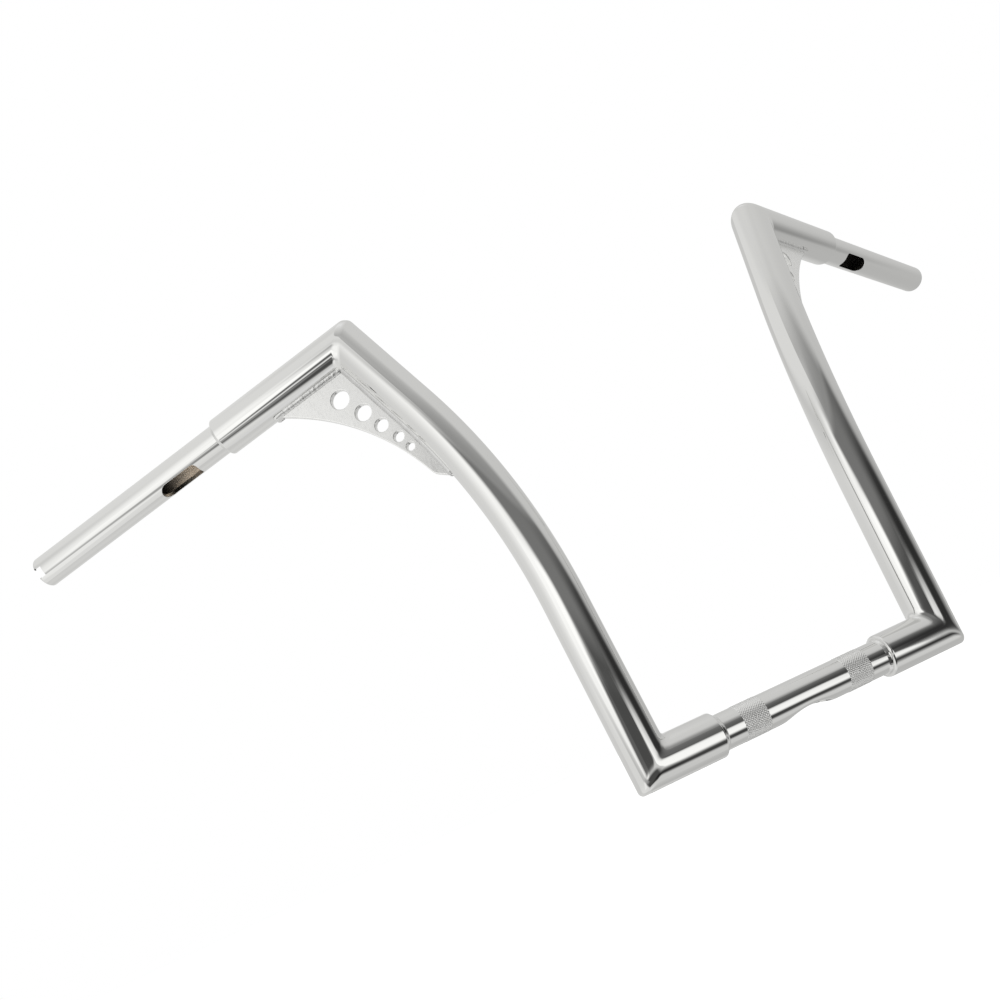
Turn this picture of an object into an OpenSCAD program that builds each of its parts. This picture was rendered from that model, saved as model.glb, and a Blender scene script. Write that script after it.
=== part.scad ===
// Ape hanger handlebar: a welded and chrome-plated steel bar, in millimetres.
// +X is the rider's left, +Y points back to the rider, +Z is up.
// The origin is on the clamp tube's axis, halfway between the risers.
// The left side is drawn; the right side is its mirror image, plus a throttle notch.

/* [Tubes] */
// Outside diameter of the risers and stubs
fat_d = 31.75; // [30:0.25:36]
// Outside diameter of the clamp tube and the grips
thin_d = 25.4; // [22:0.1:26]
// Wall of the clamp tube and the grips
thin_wall = 3.05; // [2:0.05:4]
// Gap all round where a thin tube slips into a stub
slip_gap = 0.125; // [0.05:0.005:0.25]
// How far a thin tube reaches into a stub
overlap = 30; // [20:1:32]

/* [Clamp section] */
// Distance between the lower corners, from centre line to centre line
lower_width = 249; // [245:1:300]
// Distance between the middles of the two knurled bands
clamp_spacing = 88.9; // [80:0.1:92]
// Length of each knurled band
knurl_length = 20; // [15:0.5:24]
// Height by which knurling raises the metal
knurl_rise = 0.2; // [0.16:0.01:0.3]
// Plain tube between a knurled band and a lower stub
clamp_room = 16.95; // [12:0.05:18]
// Depth of the dimple pressed in the underside
dimple_depth = 3.6; // [1:0.1:5]
// Length of the dimple along the tube
dimple_length = 40; // [30:1:50]
// Diameter of the wiring hole in the dimple
wire_hole_d = 12; // [6:0.5:14]
// Distance of the wiring hole from the middle
wire_hole_x = 9; // [0:0.5:11]

/* [Risers] */
// Outward lean of the riser's foot in degrees
riser_lean = 2.5; // [0:0.1:6]
// Direction of the bend in degrees, from straight outward toward the rider
riser_turn = 40; // [30:1:60]
// Straight length above the lower corner
riser_foot = 124; // [90:1:160]
// Radius of the bend, to the centre line
bend_r = 496; // [350:1:700]
// Angle of the bend in degrees
bend_angle = 21.2; // [12:0.1:26]
// Straight length below the upper corner
riser_head = 77; // [50:1:100]

/* [Stubs and grips] */
// Angle in degrees by which the grips sweep back
grip_sweep = 30.5; // [20:0.5:40]
// Angle in degrees by which the grips drop toward their tips
grip_drop = 8.3; // [0:0.1:15]
// Distance from the upper corner to the grip's tip
grip_reach = 305; // [290:1:340]
// Distance from the upper corner to the end of the upper stub
stub_reach = 121; // [112:1:130]
// Rounding of the stubs' outer edges
stub_edge = 1.9; // [0.5:0.1:2]
// Rounding of the grips' outer edges
tip_edge = 1.5; // [0.5:0.1:1.8]

/* [Wiring] */
// Distance from the upper stub to the grip's wiring slot
slot_gap = 27; // [15:0.5:40]
// Length of the slot
slot_length = 35.5; // [25:0.5:45]
// Width of the slot
slot_width = 15; // [8:0.5:16]
// Corner radius at the slot's square end
slot_corner = 3.5; // [1:0.1:3.8]
// Turn of the slot's middle in degrees, from straight down toward the front
slot_turn = 18; // [0:1:45]
// Width of the notch in the throttle side's tip
notch_width = 9; // [5:0.5:12]
// Depth of the notch along the tube
notch_depth = 6.5; // [3:0.5:10]
// Turn of the notch in degrees, from straight down toward the front
notch_turn = 77; // [0:1:180]

/* [Gussets] */
// Thickness of the plate
gusset_t = 4.8; // [3:0.1:7]
// Distance from the upper corner to the plate's end on the stub
gusset_along_stub = 74.6; // [70:0.1:80]
// Distance from the upper corner to the plate's end on the riser
gusset_along_riser = 136; // [130:0.5:142]
// Length of the plate's sloping nose along the riser
nose_run = 11.5; // [8:0.5:14]
// Height of the nose above a straight riser
nose_rise = 11.5; // [9:0.1:14]
// Radius of the plate's hollow edge
gusset_edge_r = 198; // [150:1:300]
// Size of the plate's holes against the full set
hole_size = 1; // [0.7:0.05:1.1]

/* [Welds] */
// Half of the width of the lower mitre weld
lower_weld = 1.2; // [0.6:0.1:2.5]
// Half of the width of the upper mitre weld
upper_weld = 2.4; // [1:0.1:4]
// Radius of the beads along the gussets
bead_r = 3; // [2:0.1:4]
// Depth to which a ring weld bites into the thin tube
weld_root = 0.3; // [0.2:0.05:0.6]

/* [Hidden] */
$fn = 96;
fat_r = fat_d / 2;
thin_r = thin_d / 2;
fat_bore_r = thin_r + slip_gap;
thin_bore_r = thin_r - thin_wall;
// Length that a mitred tube runs past its corner before it is cut
past = fat_d;
// Size of the blocks that cut the mitres
block = 4 * fat_d;
// Play added where a cutter runs out of the metal
clear = 1;
// Amount by which bending draws a tube's radius in, and the lap of a straight run over a bend
bend_draw = 0.05;
bend_lap = 1;
// Break between the two runs of bead in the corner
bead_break = 0.2;

corner_x = lower_width / 2;
stub_face_x = clamp_spacing / 2 + knurl_length / 2 + clamp_room;
slot_start = stub_reach + slot_gap;
slot_round = slot_start + slot_length - slot_width / 2;
// Radius of a round scoop as deep and as long as the dimple
dimple_r = (dimple_length * dimple_length / 4 + dimple_depth * dimple_depth) / (2 * dimple_depth);

function spin_y(a, p) = [p.x * cos(a) + p.z * sin(a), p.y, p.z * cos(a) - p.x * sin(a)];
function spin_z(a, p) = [p.x * cos(a) - p.y * sin(a), p.x * sin(a) + p.y * cos(a), p.z];
function unit(p) = p / norm(p);
// A direction in the riser's frame, as a direction of the bar
function riser_dir(p) = spin_y(riser_lean, spin_z(riser_turn, p));

// The riser's bend lies in the x-z plane of its own frame, which starts at the lower corner
bend_end = [bend_r * (1 - cos(bend_angle)), 0, riser_foot + bend_r * sin(bend_angle)];
head_dir = [sin(bend_angle), 0, cos(bend_angle)];
upper_corner = [corner_x, 0, 0] + riser_dir(bend_end + riser_head * head_dir);

// Frame of the upper corner: x out along the stub, y down the plate, z across the plate
grip_dir = [cos(grip_sweep) * cos(grip_drop), sin(grip_sweep) * cos(grip_drop), -sin(grip_drop)];
down_dir = -riser_dir(head_dir);
plate_z = unit(cross(grip_dir, down_dir));
plate_y = cross(plate_z, grip_dir);
lower_angle = 90 + riser_lean;
upper_angle = acos(grip_dir * down_dir);

// In the plate's plane: down the riser, and out from the riser square to it
plate_down = [cos(upper_angle), sin(upper_angle)];
plate_out = [sin(upper_angle), -cos(upper_angle)];
// Turn about the riser's axis, from its bend plane to the plate
out_dir = grip_dir * plate_out.x + plate_y * plate_out.y;
bend_in = riser_dir([cos(bend_angle), 0, -sin(bend_angle)]);
plate_turn = atan2(out_dir * riser_dir([0, 1, 0]), out_dir * bend_in);
// Turn about a tube's axis from the plate's middle to the corner under a bead
bead_turn = asin(gusset_t / 2 / fat_r);
// Angle of the bend that the bead reaches round
bead_bend = (gusset_along_riser - riser_head) / bend_r * 180 / PI;
// How far the bend has moved the riser toward the plate at the bead's end
bead_shift = bend_r * (1 - cos(bead_bend)) * cos(plate_turn);

// Corners of the plate on its open side, and the middle of its hollow edge
edge_stub = [gusset_along_stub, fat_r];
edge_nose = (gusset_along_riser - nose_run) * plate_down + (fat_r + nose_rise) * plate_out;
edge_riser = gusset_along_riser * plate_down + (fat_r + bead_shift) * plate_out;
edge_half = norm(edge_nose - edge_stub) / 2;
edge_open = [edge_nose.y - edge_stub.y, edge_stub.x - edge_nose.x] / (2 * edge_half);
edge_sink = sqrt(gusset_edge_r * gusset_edge_r - edge_half * edge_half);
edge_centre = (edge_stub + edge_nose) / 2 + edge_open * edge_sink;

// Holes of the plate: distance down the riser, distance out from its axis, diameter
gusset_holes = [[28, 33.6, 15], [49.7, 29, 13], [67.8, 26.75, 10.5], [84.4, 24.4, 8.2], [96.6, 24.1, 6.5]];

// Ring welds: length on the thin tube, height on the stub's end face, radius of the bead
lower_ring = [2.7, 1.15, 4.6];
upper_ring = [1.3, 0.8, 2];

module in_riser() {
    translate([corner_x, 0, 0]) rotate([0, riser_lean, 0]) rotate([0, 0, riser_turn]) children();
}

// The lower corner's frame: x in along the stub, y up the riser's side
module in_lower_corner() {
    translate([corner_x, 0, 0]) rotate([90, 0, 180]) children();
}

module in_upper_corner() {
    x = grip_dir;
    y = plate_y;
    z = plate_z;
    p = upper_corner;
    multmatrix([[x.x, y.x, z.x, p.x], [x.y, y.y, z.y, p.y], [x.z, y.z, z.z, p.z], [0, 0, 0, 1]])
        children();
}

// The grip's frame: z toward the tip, x down, y to the rear
module in_grip() {
    translate(upper_corner) rotate([0, 90 + grip_drop, grip_sweep]) children();
}

// A tube along z between two stations, its outer edge rounded at the second
module tube(r_out, r_in, from, to, edge) {
    rotate_extrude() difference() {
        translate([r_in, from]) square([r_out - r_in, to - from]);
        translate([r_out - edge, to - edge]) difference() {
            square(edge + clear);
            circle(r = edge);
        }
    }
}

// A run of the given radius along the riser's centre line, past both corners.
// Bending draws the tube in a little, and the straight runs lap over the bend's ends.
module riser_run(r, extra) {
    translate([0, 0, -past - extra]) cylinder(r = r, h = past + extra + riser_foot + bend_lap);
    translate([bend_r, 0, riser_foot]) rotate([90, 0, 0]) rotate([0, 0, 180 - bend_angle])
        rotate_extrude(angle = bend_angle, $fn = 6 * $fn)
            translate([bend_r, 0]) circle(r = r - bend_draw, $fn = 96);
    translate(bend_end) rotate([0, bend_angle, 0]) translate([0, 0, -bend_lap])
        cylinder(r = r, h = bend_lap + riser_head + past + extra);
}

// Block that cuts a tube at a corner's mitre plane, short of it by half a weld.
// Side 1 cuts the riser and side -1 cuts the stub.
module mitre_block(angle, weld, side) {
    rotate([0, 0, angle / 2 - 90])
        translate([side > 0 ? -weld : weld - block, -block / 2, -block / 2]) cube(block);
}

// Solid outline of a mitre weld, which fills the gap between the two cut tubes
module mitre_slice(angle, weld, r) {
    rotate([0, 0, angle / 2 - 90]) translate([0, weld / tan(angle / 2), 0])
        scale([1, 1 / sin(angle / 2), 1]) rotate([0, 90, 0]) cylinder(r = r, h = 2 * weld, center = true);
}

module mitre_weld(angle, weld) {
    difference() {
        mitre_slice(angle, weld, fat_r);
        rotate([0, 0, angle / 2 - 90]) translate([0, weld / tan(angle / 2), 0])
            scale([1, 1 / sin(angle / 2), 1]) rotate([0, 90, 0])
                cylinder(r = fat_bore_r, h = 2 * (weld + clear), center = true);
    }
}

// Ring of weld round a thin tube, on a stub's end face at z = 0
module ring_weld(run, rise, r) {
    chord = norm([run, rise]);
    sink = sqrt(r * r - chord * chord / 4);
    rotate_extrude() intersection() {
        translate([thin_r, 0]) square([rise + clear, run + clear]);
        translate([thin_r + rise / 2 - sink * run / chord, run / 2 - sink * rise / chord]) circle(r = r);
    }
    ring_root(run);
}

// The part of a ring weld that lies in the thin tube
module ring_root(run) {
    difference() {
        cylinder(r = thin_r, h = run);
        translate([0, 0, -clear]) cylinder(r = thin_r - weld_root, h = run + 2 * clear);
    }
}

module centre_tube() {
    reach = stub_face_x + overlap;
    color("#c9ccd1") difference() {
        union() {
            rotate([0, 90, 0]) cylinder(r = thin_r, h = 2 * reach, center = true);
            for (x = [-1, 1])
                translate([x * clamp_spacing / 2, 0, 0]) rotate([0, 90, 0])
                    cylinder(r = thin_r + knurl_rise, h = knurl_length, center = true);
        }
        // The bore, with the dimple standing up into it by the wall
        difference() {
            rotate([0, 90, 0]) cylinder(r = thin_bore_r, h = 2 * (reach + clear), center = true);
            dimple(dimple_r + thin_wall);
        }
        dimple(dimple_r);
        translate([wire_hole_x, 0, -thin_r - clear]) cylinder(d = wire_hole_d, h = thin_r + clear);
        for (turn = [-90, 90]) rotate([0, turn, 0]) translate([0, 0, stub_face_x - lower_ring[0]])
            ring_root(lower_ring[0]);
    }
}

module dimple(r) {
    translate([0, 0, dimple_depth - thin_r - dimple_r]) rotate([90, 0, 0])
        cylinder(r = r, h = 2 * (thin_r + clear), center = true, $fn = 360);
}

module lower_stub() {
    color("#bfc3c9") difference() {
        translate([corner_x, 0, 0]) rotate([0, -90, 0])
            tube(fat_r, fat_bore_r, -past, corner_x - stub_face_x, stub_edge);
        in_lower_corner() mitre_block(lower_angle, lower_weld, -1);
    }
}

module riser() {
    color("#b4b9c0") difference() {
        in_riser() riser_run(fat_r, 0);
        in_riser() riser_run(fat_bore_r, clear);
        in_lower_corner() mitre_block(lower_angle, lower_weld, 1);
        in_upper_corner() mitre_block(upper_angle, upper_weld, 1);
    }
}

module upper_stub() {
    color("#bfc3c9") in_upper_corner() difference() {
        rotate([0, 90, 0]) tube(fat_r, fat_bore_r, -past, stub_reach, stub_edge);
        mitre_block(upper_angle, upper_weld, -1);
    }
}

// Outline of the wiring slot, square toward the stub and round toward the tip
module slot_outline() {
    square_end = slot_start + slot_corner;
    translate([-slot_round, 0]) circle(d = slot_width);
    translate([-slot_round, -slot_width / 2]) square([slot_round - square_end, slot_width]);
    translate([-square_end, slot_corner - slot_width / 2])
        square([slot_corner, slot_width - 2 * slot_corner]);
    for (y = [-1, 1])
        translate([-square_end, y * (slot_width / 2 - slot_corner)]) circle(r = slot_corner);
}

module grip_tube(notched) {
    color("#c9ccd1") in_grip() difference() {
        tube(thin_r, thin_bore_r, stub_reach - overlap, grip_reach, tip_edge);
        rotate([0, 0, -slot_turn]) rotate([0, 90, 0]) linear_extrude(thin_r + clear) slot_outline();
        translate([0, 0, stub_reach]) ring_root(upper_ring[0]);
        if (notched)
            rotate([0, 0, -notch_turn]) translate([0, -notch_width / 2, grip_reach - notch_depth])
                cube([thin_r + clear, notch_width, notch_depth + clear]);
    }
}

module gusset() {
    color("#aeb3ba") difference() {
        in_upper_corner() translate([0, 0, -gusset_t / 2]) linear_extrude(gusset_t) difference() {
            polygon([
                [0, 0], [edge_stub.x, 0], edge_stub, edge_nose, edge_riser, gusset_along_riser * plate_down
            ]);
            translate(edge_centre) circle(r = gusset_edge_r, $fn = 720);
            for (h = gusset_holes)
                translate(h[0] * plate_down + h[1] * plate_out) circle(d = h[2] * hole_size);
        }
        welded_corner();
    }
}

// The tubes and the mitre weld as solids, which the plate and the beads are shaped to
module welded_corner() {
    in_riser() riser_run(fat_r, 0);
    in_upper_corner() {
        rotate([0, 90, 0]) translate([0, 0, -past]) cylinder(r = fat_r, h = past + stub_reach);
        mitre_slice(upper_angle, upper_weld, fat_r);
    }
}

module plate_block() {
    translate([-block, -block, -gusset_t / 2]) cube([2 * block, 3 * block, gusset_t]);
}

// Beads along the riser's side of the plate, one on each face, round into the corner
module riser_bead() {
    color("#d5d8dc") difference() {
        in_riser() for (side = [-1, 1]) {
            turn = plate_turn + side * bead_turn;
            at = fat_r * [cos(turn), sin(turn)];
            translate(bend_end) rotate([0, bend_angle, 0]) translate([at.x, at.y, -bend_lap])
                cylinder(r = bead_r, h = bend_lap + riser_head);
            translate([bend_r, 0, riser_foot]) rotate([90, 0, 0]) rotate([0, 0, 180 - bend_angle])
                rotate_extrude(angle = bead_bend, $fn = 6 * $fn)
                    translate([bend_r - at.x, -at.y]) circle(r = bead_r - bend_draw, $fn = 48);
        }
        in_riser() riser_run(fat_r, 0);
        in_upper_corner() {
            mitre_slice(upper_angle, upper_weld, fat_r);
            plate_block();
            mitre_block(upper_angle, bead_break - upper_weld, 1);
        }
    }
}

// Beads along the stub's side of the plate, one on each face, with round ends
module stub_bead() {
    color("#d5d8dc") in_upper_corner() difference() {
        for (side = [-1, 1]) translate([0, fat_r * cos(bead_turn), side * gusset_t / 2]) {
            rotate([0, 90, 0]) cylinder(r = bead_r, h = gusset_along_stub, $fn = 48);
            translate([gusset_along_stub, 0, 0]) sphere(r = bead_r, $fn = 48);
        }
        rotate([0, 90, 0]) translate([0, 0, -past]) cylinder(r = fat_r, h = past + stub_reach);
        plate_block();
        mitre_block(upper_angle, upper_weld, -1);
    }
}

module lower_ring_weld() {
    translate([stub_face_x, 0, 0]) rotate([0, -90, 0]) ring_weld(lower_ring[0], lower_ring[1], lower_ring[2]);
}

module upper_ring_weld() {
    in_grip() translate([0, 0, stub_reach]) ring_weld(upper_ring[0], upper_ring[1], upper_ring[2]);
}

module right_side() {
    mirror([1, 0, 0]) children();
}

centre_tube();
lower_stub();  // left_lower_stub
right_side() lower_stub();  // right_lower_stub
riser();  // left_riser
right_side() riser();  // right_riser
upper_stub();  // left_upper_stub
right_side() upper_stub();  // right_upper_stub
grip_tube(false);  // left_grip_tube
right_side() grip_tube(true);  // right_grip_tube
gusset();  // left_gusset
right_side() gusset();  // right_gusset
in_lower_corner() mitre_weld(lower_angle, lower_weld);  // left_lower_mitre_weld
right_side() in_lower_corner() mitre_weld(lower_angle, lower_weld);  // right_lower_mitre_weld
in_upper_corner() mitre_weld(upper_angle, upper_weld);  // left_upper_mitre_weld
right_side() in_upper_corner() mitre_weld(upper_angle, upper_weld);  // right_upper_mitre_weld
lower_ring_weld();  // left_lower_ring_weld
right_side() lower_ring_weld();  // right_lower_ring_weld
upper_ring_weld();  // left_upper_ring_weld
right_side() upper_ring_weld();  // right_upper_ring_weld
riser_bead();  // left_riser_bead
right_side() riser_bead();  // right_riser_bead
stub_bead();  // left_stub_bead
right_side() stub_bead();  // right_stub_bead
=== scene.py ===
import math
import bpy
import numpy as np
from mathutils import Matrix, Vector
from mathutils.geometry import delaunay_2d_cdt


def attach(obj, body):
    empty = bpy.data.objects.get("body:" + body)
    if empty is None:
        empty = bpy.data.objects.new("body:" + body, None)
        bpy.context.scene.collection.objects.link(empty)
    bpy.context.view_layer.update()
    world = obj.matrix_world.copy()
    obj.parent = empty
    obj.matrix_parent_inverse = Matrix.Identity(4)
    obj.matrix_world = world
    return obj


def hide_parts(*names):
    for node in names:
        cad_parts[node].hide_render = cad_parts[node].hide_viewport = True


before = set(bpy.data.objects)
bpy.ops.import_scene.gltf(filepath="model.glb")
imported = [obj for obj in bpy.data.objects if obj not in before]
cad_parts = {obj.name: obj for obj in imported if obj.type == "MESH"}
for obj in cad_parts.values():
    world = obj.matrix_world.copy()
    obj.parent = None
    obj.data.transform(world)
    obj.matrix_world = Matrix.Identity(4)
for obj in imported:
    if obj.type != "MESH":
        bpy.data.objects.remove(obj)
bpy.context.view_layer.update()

# Sizes in millimetres and degrees, as in the CAD model. The left side is built and mirrored.
MM = 0.001
FAT_R, THIN_R, WALL = 15.875, 12.7, 3.05
FAT_BORE, THIN_BORE = 12.825, 9.65
CORNER_X, STUB_FACE = 124.5, 71.4  # the lower corner, and the end face of the lower stub
OVERLAP = 30.0  # how far a thin tube slips into a fat one
LEAN, TURN = 2.5, 40.0  # of the riser's foot, and of its plane of bend
FOOT, BEND_R, BEND, HEAD = 124.0, 496.0, 21.2, 77.0
SWEEP, DROP = 30.5, 8.3
GRIP, STUB = 305.0, 121.0  # from the upper corner to the grip's tip and to the stub's end
STUB_EDGE, TIP_EDGE, BORE_EDGE = 1.9, 1.5, 0.4  # rounded edges
GUSSET_T, BEAD_R = 4.8, 3.0
GUSSET_STUB, GUSSET_RISER = 74.6, 136.0  # from the upper corner to the ends of the gusset's two feet
AROUND = 128  # points round a tube
BEND_ROWS = 44
X, Y, Z = np.eye(3)


def unit(v):
    return v / np.linalg.norm(v, axis=-1, keepdims=True)


def cosd(a):
    return math.cos(math.radians(a))


def sind(a):
    return math.sin(math.radians(a))


def rot_y(a):
    c, s = cosd(a), sind(a)
    return np.array([[c, 0, s], [0, 1, 0], [-s, 0, c]])


def rot_z(a):
    c, s = cosd(a), sind(a)
    return np.array([[c, -s, 0], [s, c, 0], [0, 0, 1]])


def bend_point(a):
    """Where the riser's centre line is once it has turned through a degrees, in its own plane."""
    return np.array([BEND_R * (1 - cosd(a)), 0, FOOT + BEND_R * sind(a)])


# The riser's centre line runs from the lower corner up a straight foot, a bend and a straight head
RISER = rot_y(LEAN) @ rot_z(TURN)
LOWER = np.array([CORNER_X, 0, 0])
BEND_LEN = BEND_R * math.radians(BEND)
RISER_LEN = FOOT + BEND_LEN + HEAD
head_dir = RISER @ rot_y(BEND) @ Z
UPPER = LOWER + RISER @ bend_point(BEND) + HEAD * head_dir
grip_dir = np.array([cosd(SWEEP) * cosd(DROP), sind(SWEEP) * cosd(DROP), -sind(DROP)])
down_dir = -head_dir
plate_z = unit(np.cross(grip_dir, down_dir))
plate_y = np.cross(plate_z, grip_dir)
plate_out = unit(grip_dir - (grip_dir @ down_dir) * down_dir)


def riser_frame(s):
    """Centre, turn matrix and axis of the riser at a distance s up from the lower corner."""
    if s <= FOOT:
        a, c = 0.0, np.array([0, 0, s])
    elif s <= FOOT + BEND_LEN:
        a = math.degrees((s - FOOT) / BEND_R)
        c = bend_point(a)
    else:
        a = BEND
        c = bend_point(a) + (s - FOOT - BEND_LEN) * np.array([sind(a), 0, cosd(a)])
    m = RISER @ rot_y(a)
    return LOWER + RISER @ c, m, m @ Z


def add_object(name, data):
    obj = bpy.data.objects.new(name, data)
    bpy.context.scene.collection.objects.link(obj)
    return obj


class Shape:
    """Patches of surface with exact normals, gathered into one mesh."""

    def __init__(self):
        self.v, self.n, self.f, self.m, self.count = [], [], [], [], 0

    def add(self, v, n, faces, mat=0):
        self.v.append(np.asarray(v, float).reshape(-1, 3))
        self.n.append(np.asarray(n, float).reshape(-1, 3))
        self.f += [tuple(int(i) + self.count for i in f) for f in faces]
        self.m += [mat] * len(faces)
        self.count += len(self.v[-1])

    def grid(self, p, n, mat=0, closed=True):
        """Rows of points; closed joins each row's end to its start."""
        rows, cols = np.shape(p)[:2]
        span = cols if closed else cols - 1
        i, j = np.meshgrid(np.arange(rows - 1), np.arange(span), indexing="ij")
        a, b = i * cols + j, i * cols + (j + 1) % cols
        self.add(p, n, np.stack([a, b, b + cols, a + cols], -1).reshape(-1, 4), mat)

    def sheet(self, outline, holes, points, place, mat=0):
        """A flat domain with holes, filled with triangles. place(uv) puts it in space, with normals."""
        pts, edges = [], []
        for loop in [outline] + list(holes):
            k = len(pts)
            pts += [tuple(q) for q in loop]
            edges += [(k + i, k + (i + 1) % len(loop)) for i in range(len(loop))]
        pts += [tuple(q) for q in points]
        verts, _, tris, _, _, _ = delaunay_2d_cdt(pts, edges, [], 0, 1e-6)
        uv = np.array([tuple(q) for q in verts])
        tris = np.array([tuple(t) for t in tris])
        middle = uv[tris].mean(1)
        keep = inside(middle, outline)
        for h in holes:
            keep &= ~inside(middle, h)
        p, n = place(uv)
        self.add(p, n, tris[keep], mat)

    def build(self, name, mats, mirror=False):
        """The mesh object, in metres, with each face turned to agree with its normals."""
        v, n = np.vstack(self.v), unit(np.vstack(self.n))
        flip = np.array([-1.0 if mirror else 1.0, 1, 1])
        v, n = v * flip * MM, n * flip
        faces = list(self.f)
        for sides in {len(f) for f in faces}:
            which = [i for i, f in enumerate(faces) if len(f) == sides]
            group = np.array([faces[i] for i in which])
            q = v[group]
            if sides == 4:
                g = np.cross(q[:, 2] - q[:, 0], q[:, 3] - q[:, 1])
            else:
                g = np.cross(q[:, 1] - q[:, 0], q[:, 2] - q[:, 0])
            wrong = (g * n[group].sum(1)).sum(1) < 0
            group[wrong] = group[wrong, ::-1]
            for i, f in zip(which, group.tolist()):
                faces[i] = f
        mesh = bpy.data.meshes.new(name)
        mesh.from_pydata(v.tolist(), [], faces)
        for m in mats:
            mesh.materials.append(m)
        mesh.polygons.foreach_set("material_index", self.m)
        mesh.polygons.foreach_set("use_smooth", [True] * len(faces))
        mesh.normals_split_custom_set_from_vertices(n.tolist())
        mesh.update()
        return add_object(name, mesh)


def grid_normals(p, closed):
    """Normals of a grid of points from its slopes, all to the same side of it."""
    if closed:
        dv = np.roll(p, -1, 1) - np.roll(p, 1, 1)
    else:
        dv = np.gradient(p, axis=1)
    n = np.cross(np.gradient(p, axis=0), dv)
    size = np.linalg.norm(n, axis=-1, keepdims=True)
    return n / np.where(size > 0, size, 1)


def inside(points, loop):
    """Which of the points lie inside a loop."""
    c, loop = np.asarray(points, float).reshape(-1, 2), np.asarray(loop, float)
    x, y = loop[:, 0], loop[:, 1]
    x2, y2 = np.roll(x, -1), np.roll(y, -1)
    slope = (x2 - x) / np.where(y2 == y, 1, y2 - y)
    hit = (y > c[:, 1:]) != (y2 > c[:, 1:])
    return (hit & (x + (c[:, 1:] - y) * slope > c[:, :1])).sum(1) % 2 == 1


def curve(p0, p1, p2, t):
    """A quadratic curve from p0 to p2, drawn toward p1."""
    return (1 - t) ** 2 * p0 + 2 * t * (1 - t) * p1 + t ** 2 * p2


def circle(count):
    """Angles round a full circle, without its start again."""
    return np.linspace(0, 2 * math.pi, count, endpoint=False)


ring = circle(AROUND)


def lathe(shape, origin, axis, u, w, profile, mat=0, angles=ring, closed=True):
    """Turns a profile of (station, radius, normal along the axis, normal outward) about an axis."""
    radial = np.cos(angles)[:, None] * u + np.sin(angles)[:, None] * w
    p = np.array([origin + t * axis + r * radial for t, r, _, _ in profile])
    n = np.array([a * axis + b * radial for _, _, a, b in profile])
    shape.grid(p, n, mat, closed)


def arc_profile(t, r, edge, start, end, steps=8):
    """Part of a rounded edge about (t, r); angles in degrees from outward to along the axis."""
    angles = np.radians(np.linspace(start, end, steps))
    return [(t + edge * math.sin(a), r + edge * math.cos(a), math.sin(a), math.cos(a)) for a in angles]


# ---- Mitred corners ----
SEAM_BLEND = 7.5  # how far on each side of a dressed seam the normals are blended
SEAM_ROWS = (0, 0.6, 1.4, 2.4, 3.6, 4.8)  # rows of points beside a dressed seam
CLEAR = 99.0  # so far from a seam that the tube's own normals hold


def corner(point, a, b, y, dressed):
    """A corner of two equal tubes: legs a and b, y square to b in their plane.
    Returns what its two tubes share."""
    n = unit(b - a)
    ya = y - 2 * (n @ y) * n
    return {"p": point, "a": a, "b": b, "n": n, "ya": ya, "yb": y, "z": np.cross(b, y), "dressed": dressed}


UP = corner(UPPER, down_dir, grip_dir, plate_y, 0)
foot_dir = RISER @ Z
in_dir = np.array([-1.0, 0, 0])
LOW = corner(LOWER, foot_dir, in_dir, unit(foot_dir - (foot_dir @ in_dir) * in_dir), SEAM_BLEND)


def meet(cn, leg, offset):
    """How far along a leg from the corner a line at this offset meets the mitre plane."""
    return -(offset @ cn["n"]) / (cn[leg] @ cn["n"])


def turned(cn, leg, e, along):
    """Normals beside a seam that is dressed away: each tube's own at a distance, turning into the other's
    at it. e are the tube's own normals, along is how far they are from the mitre plane."""
    near, far = ("ya", "yb") if leg == "a" else ("yb", "ya")
    other = e + (e @ cn[near])[:, None] * (cn[far] - cn[near])
    t = np.clip((along / cn["dressed"] + 1) / 2, 0, 1)[:, None]
    own = t * t * (3 - 2 * t)
    return unit(own * e + (1 - own) * other)


def mitre_band(cn, weld, soft):
    """The dressed weld between two mitred tubes: a flat seam whose two edges are blended into the tubes.
    Returns it and how far along the tubes it reaches."""
    shape = Shape()
    cosine = cn["a"] @ cn["b"]
    h = weld / math.sin(math.acos(cosine) / 2)
    t = np.linspace(0, 1, 9)[:, None]
    rows = []
    for f in ring:
        e = FAT_R * (math.cos(f) * cn["yb"] + math.sin(f) * cn["z"])
        m = cn["p"] + e + meet(cn, "b", e) * cn["b"]
        c1, c2 = m + h * cn["a"], m + h * cn["b"]
        along = unit(c2 - c1)
        flat = np.linalg.norm(c2 - c1) / 2
        lap = min(soft, flat)
        q1, q2 = c1 + soft * cn["a"], c1 + lap * along
        q3, q4 = c2 - lap * along, c2 + soft * cn["b"]
        mid = q2 + (q3 - q2) * np.linspace(0, 1, 5)[1:-1, None]
        rows.append(np.vstack([curve(q1, c1, q2, t), mid, curve(q3, c2, q4, t)]))
    p = np.array(rows).transpose(1, 0, 2)
    across, up = np.cos(ring)[:, None], np.sin(ring)[:, None] * cn["z"]
    if cn["dressed"]:
        e = across * cn["ya"] + up
        seam = cn["p"] + FAT_R * e + np.array([meet(cn, "a", FAT_R * q) for q in e])[:, None] * cn["a"]
        n = [turned(cn, "a", e, (row - seam) @ (cn["a"] - cn["b"]) / (1 - cosine)) for row in p]
    else:
        n = grid_normals(p, True)
        n[0], n[-1] = across * cn["ya"] + up, across * cn["yb"] + up
        if (n[1:-1] * n[0]).sum() < 0:
            n[1:-1] *= -1
    shape.grid(p, n)
    return shape, h + soft


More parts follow.
